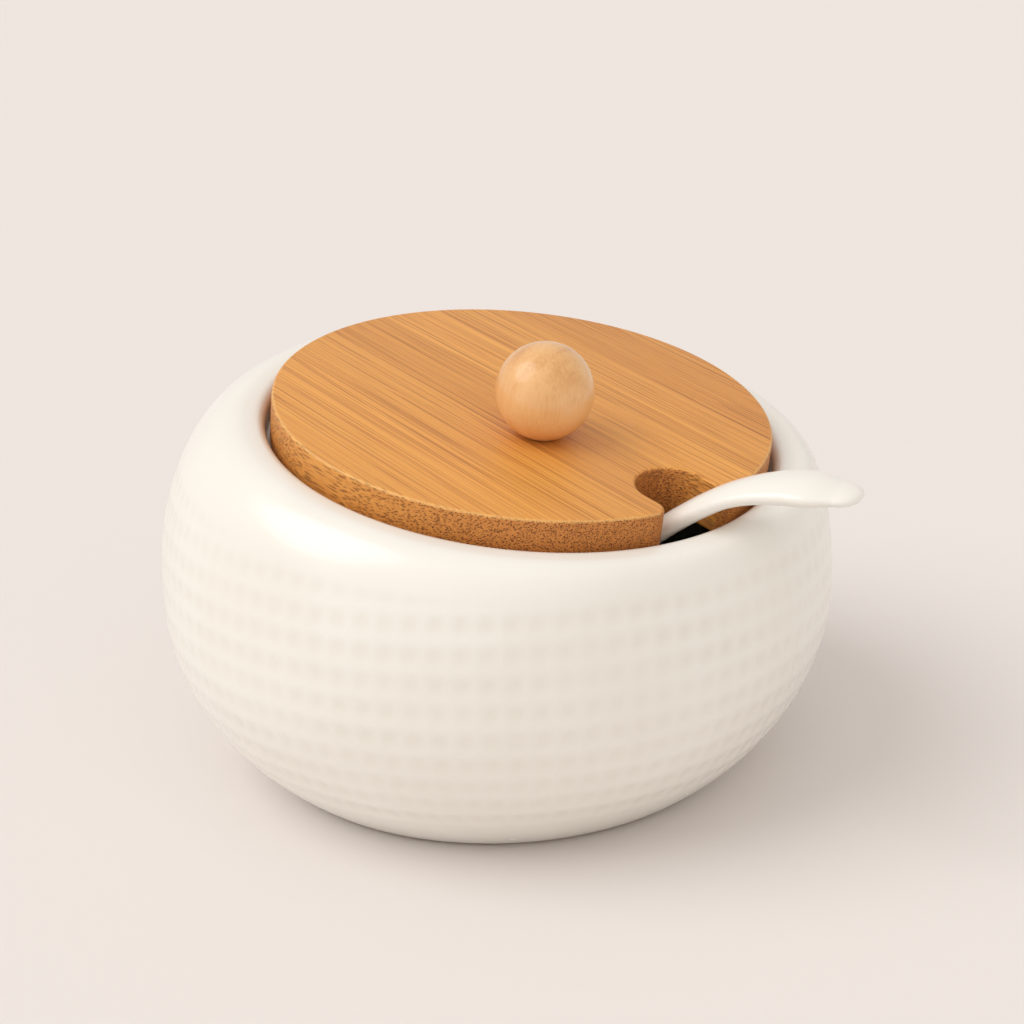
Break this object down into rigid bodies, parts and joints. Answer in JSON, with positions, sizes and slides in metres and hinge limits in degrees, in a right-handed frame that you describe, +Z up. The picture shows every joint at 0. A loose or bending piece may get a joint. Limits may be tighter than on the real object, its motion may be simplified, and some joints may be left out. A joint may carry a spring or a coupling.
{
  "type": "sugar bowl",
  "caption": "Squat ceramic globe bowl with a slanted mouth, a notched bamboo lid with a ball knob, and a spoon that leaves through the notch.",
  "frame": {"origin": "centre of the foot ring, on the surface that the bowl stands on", "axes": "+Z up, +X level, towards the low side of the slanted mouth, where the lid's notch is"},
  "size_m": [0.12, 0.108, 0.0724],
  "materials": {
    "porcelain": "gloss",
    "bamboo": "satin",
    "maple": "satin",
    "screw_steel": "satin",
    "spoon_porcelain": "gloss"
  },
  "bodies": {
    "bowl": {"bowl": "porcelain"},
    "lid": {"lid": "bamboo", "knob": "maple", "knob_screw": "screw_steel"},
    "spoon": {"spoon": "spoon_porcelain"}
  },
  "joints": [
    {"name": "lid_lift", "type": "slide", "parent": "bowl", "child": "lid", "axis": [0.1839, 0, 0.9829], "range_m": [0, 0.06]},
    {"name": "spoon_draw", "type": "slide", "parent": "bowl", "child": "spoon", "axis": [0.6811, 0.3176, 0.6597], "range_m": [0, 0.025]}
  ]
}
